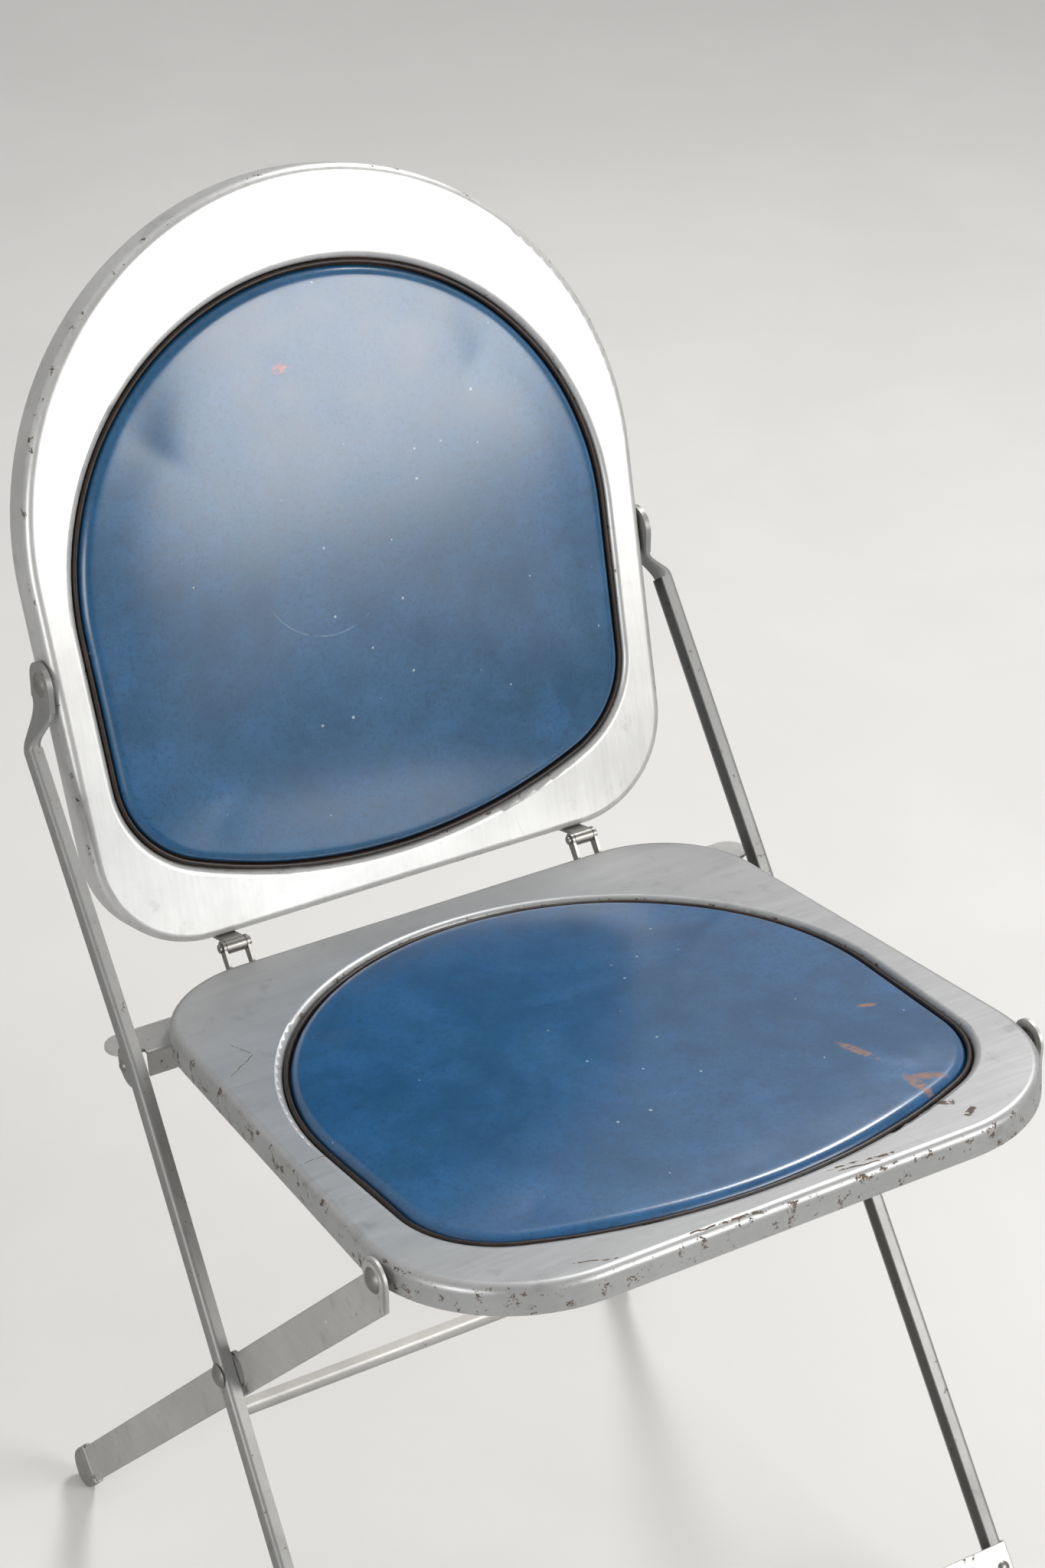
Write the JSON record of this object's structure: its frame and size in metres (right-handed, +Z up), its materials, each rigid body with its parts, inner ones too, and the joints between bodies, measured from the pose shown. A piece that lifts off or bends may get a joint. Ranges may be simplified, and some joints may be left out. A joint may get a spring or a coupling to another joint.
{
  "type": "folding chair",
  "caption": "Steel folding chair with a round-topped pressed back, a tray seat, flush blue vinyl pads and crossed legs that swing closed.",
  "frame": {"origin": "on the floor under the middle of the unfolded chair", "axes": "X runs across the chair, the sitter faces -Y, +Z is up"},
  "size_m": [0.4356, 0.533, 0.8142],
  "materials": {
    "frame_steel": "satin",
    "pan_steel": "satin",
    "bare_steel": "satin",
    "cap_steel": "satin",
    "blue_vinyl": "gloss",
    "welt_rubber": "satin",
    "board_wood": "matte"
  },
  "bodies": {
    "front_frame": {"right_upright": "frame_steel", "left_upright": "frame_steel", "right_front_foot_cap": "cap_steel", "left_front_foot_cap": "cap_steel", "foot_stretcher": "frame_steel", "stretcher_rivets": "bare_steel", "stop_rivets": "bare_steel", "crossing_pivot_rivets": "bare_steel", "crossing_spacers": "frame_steel", "back_pivot_rivets": "bare_steel", "back_pivot_washers": "bare_steel"},
    "rear_frame": {"right_rear_leg": "frame_steel", "left_rear_leg": "frame_steel", "right_rear_foot_cap": "cap_steel", "left_rear_foot_cap": "cap_steel", "right_pivot_plate": "frame_steel", "left_pivot_plate": "frame_steel", "rear_brace": "frame_steel", "seat_pivot_rivets": "bare_steel", "seat_pivot_washers": "bare_steel"},
    "backrest": {"back_pan": "pan_steel", "back_pad": "blue_vinyl", "back_welt": "welt_rubber", "back_board": "board_wood", "back_board_clips": "frame_steel", "back_board_screws": "bare_steel", "right_hinge_lug": "frame_steel", "left_hinge_lug": "frame_steel", "lug_rivets": "bare_steel"},
    "seat": {"seat_pan": "pan_steel", "seat_pad": "blue_vinyl", "seat_welt": "welt_rubber", "seat_board": "board_wood", "seat_board_clips": "frame_steel", "seat_board_screws": "bare_steel", "hook_bar": "frame_steel", "hook_bar_rivets": "bare_steel", "right_seat_hinge_bracket": "frame_steel", "left_seat_hinge_bracket": "frame_steel", "hinge_pins": "bare_steel", "bracket_rivets": "bare_steel"}
  },
  "joints": [
    {"name": "rear_legs_fold", "type": "hinge", "parent": "front_frame", "child": "rear_frame", "pos_m": [0, -0.03881, 0.26638], "axis": [-1, 0, 0], "range_deg": [0, 76.5]},
    {"name": "back_fold", "type": "hinge", "parent": "front_frame", "child": "backrest", "pos_m": [0, 0.18448, 0.57792], "axis": [1, 0, 0], "range_deg": [0, 143]},
    {"name": "seat_fold", "type": "hinge", "parent": "backrest", "child": "seat", "pos_m": [0, 0.12034, 0.42053], "axis": [-1, 0, 0], "range_deg": [0, 99.9]}
  ],
  "couplings": [
    {"joint": "back_fold", "follows": "rear_legs_fold", "ratio": 1.869},
    {"joint": "seat_fold", "follows": "rear_legs_fold", "ratio": 1.3061}
  ]
}
